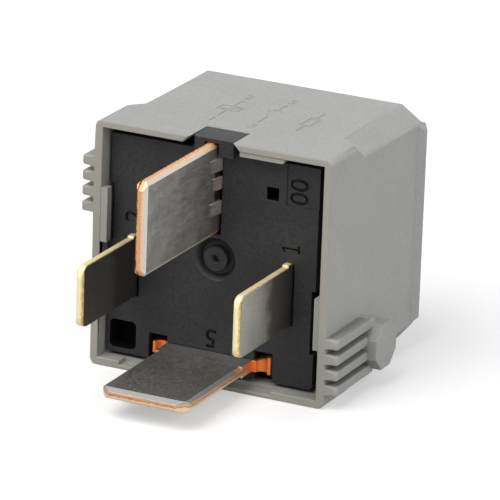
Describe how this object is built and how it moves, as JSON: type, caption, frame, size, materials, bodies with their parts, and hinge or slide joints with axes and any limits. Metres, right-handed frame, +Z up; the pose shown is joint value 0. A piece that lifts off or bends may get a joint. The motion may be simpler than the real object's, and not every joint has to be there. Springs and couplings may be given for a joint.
{
  "type": "automotive relay",
  "caption": "Plug-in cube relay with blade terminals in a black base, a ribbed grey cover and a hinged armature inside.",
  "frame": {"origin": "middle of the flat bottom face of the cover, on which the relay lies", "axes": "+X across the coil blades towards the boss, +Y from the blades to the closed end of the cover, +Z up"},
  "size_m": [0.0295, 0.0363, 0.0254],
  "materials": {
    "cover_plastic": "matt moulded",
    "base_plastic": "matt moulded, fine grain",
    "tinned_brass": "tin-plated faces, bare brass edges",
    "tinned_copper": "tin-plated faces, bare copper edges",
    "plated_steel": "zinc-plated, satin",
    "rivet_steel": "plated, satin",
    "contact_silver": "turned silver alloy",
    "spring_bronze": "rolled strip",
    "enamelled_wire": "clear enamel over copper",
    "tinned_wire": "tinned",
    "bobbin_plastic": "moulded, natural colour",
    "resistor_lacquer": "lacquer"
  },
  "bodies": {
    "housing": {"cover": "cover_plastic", "base": "base_plastic", "coil_terminal_1": "tinned_brass", "coil_terminal_2": "tinned_brass", "load_terminal_3": "tinned_copper", "load_terminal_5": "tinned_copper", "yoke": "plated_steel", "core": "plated_steel", "bobbin": "bobbin_plastic", "coil_winding": "enamelled_wire", "yoke_rivets": "rivet_steel", "fixed_contact": "contact_silver", "coil_lead_1": "enamelled_wire", "coil_lead_2": "enamelled_wire", "resistor_body": "resistor_lacquer", "resistor_lead_1": "tinned_wire", "resistor_lead_2": "tinned_wire", "contact_spring": "spring_bronze"},
    "armature_unit": {"armature": "plated_steel", "armature_rivets": "rivet_steel", "moving_contact": "contact_silver"}
  },
  "joints": [
    {"name": "armature_hinge", "type": "hinge", "parent": "housing", "child": "armature_unit", "pos_m": [0, 0.00524, 0.0215], "axis": [1, 0, 0], "range_deg": [-4, 0], "stiffness_Nm_per_rad": 0.07, "springref_deg": 2.01, "deforming": ["contact_spring"]}
  ]
}
